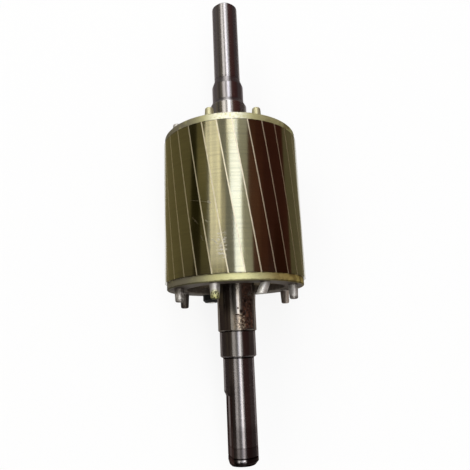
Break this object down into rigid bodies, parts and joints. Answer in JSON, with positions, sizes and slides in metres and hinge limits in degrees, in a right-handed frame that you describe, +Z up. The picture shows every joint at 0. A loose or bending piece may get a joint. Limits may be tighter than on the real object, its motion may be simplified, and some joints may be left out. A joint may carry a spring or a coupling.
{
  "type": "compressor motor rotor",
  "caption": "Squirrel-cage motor rotor for a compressor: laminated core with skewed cast bars, end rings with balance pegs, on a stepped shaft with a flat at the drive end",
  "frame": {"origin": "On the floor line that the core rests on, below the axis, at the middle of the overall length", "axes": "+Z up; the rotor's axis runs along Y, 50 mm above the floor; the drive end with the flat points to -Y and the tail end to +Y"},
  "size_m": [0.1, 0.3464, 0.1],
  "materials": {
    "shaft_steel": "turned, darkened with age",
    "core_steel": "turned, yellow lacquer film",
    "bar_aluminium": "turned flush with the core",
    "ring_aluminium": "as cast, yellow lacquer film",
    "washer_steel": "blackened"
  },
  "bodies": {
    "root": {"shaft": "shaft_steel", "rotor_core": "core_steel", "rotor_bar_01": "bar_aluminium", "rotor_bar_02": "bar_aluminium", "rotor_bar_03": "bar_aluminium", "rotor_bar_04": "bar_aluminium", "rotor_bar_05": "bar_aluminium", "rotor_bar_06": "bar_aluminium", "rotor_bar_07": "bar_aluminium", "rotor_bar_08": "bar_aluminium", "rotor_bar_09": "bar_aluminium", "rotor_bar_10": "bar_aluminium", "rotor_bar_11": "bar_aluminium", "rotor_bar_12": "bar_aluminium", "rotor_bar_13": "bar_aluminium", "rotor_bar_14": "bar_aluminium", "rotor_bar_15": "bar_aluminium", "rotor_bar_16": "bar_aluminium", "rotor_bar_17": "bar_aluminium", "rotor_bar_18": "bar_aluminium", "rotor_bar_19": "bar_aluminium", "rotor_bar_20": "bar_aluminium", "rotor_bar_21": "bar_aluminium", "rotor_bar_22": "bar_aluminium", "rotor_bar_23": "bar_aluminium", "rotor_bar_24": "bar_aluminium", "rotor_bar_25": "bar_aluminium", "rotor_bar_26": "bar_aluminium", "rotor_bar_27": "bar_aluminium", "rotor_bar_28": "bar_aluminium", "rotor_bar_29": "bar_aluminium", "rotor_bar_30": "bar_aluminium", "drive_end_ring": "ring_aluminium", "tail_end_ring": "ring_aluminium", "balance_washer": "washer_steel"}
  },
  "joints": []
}
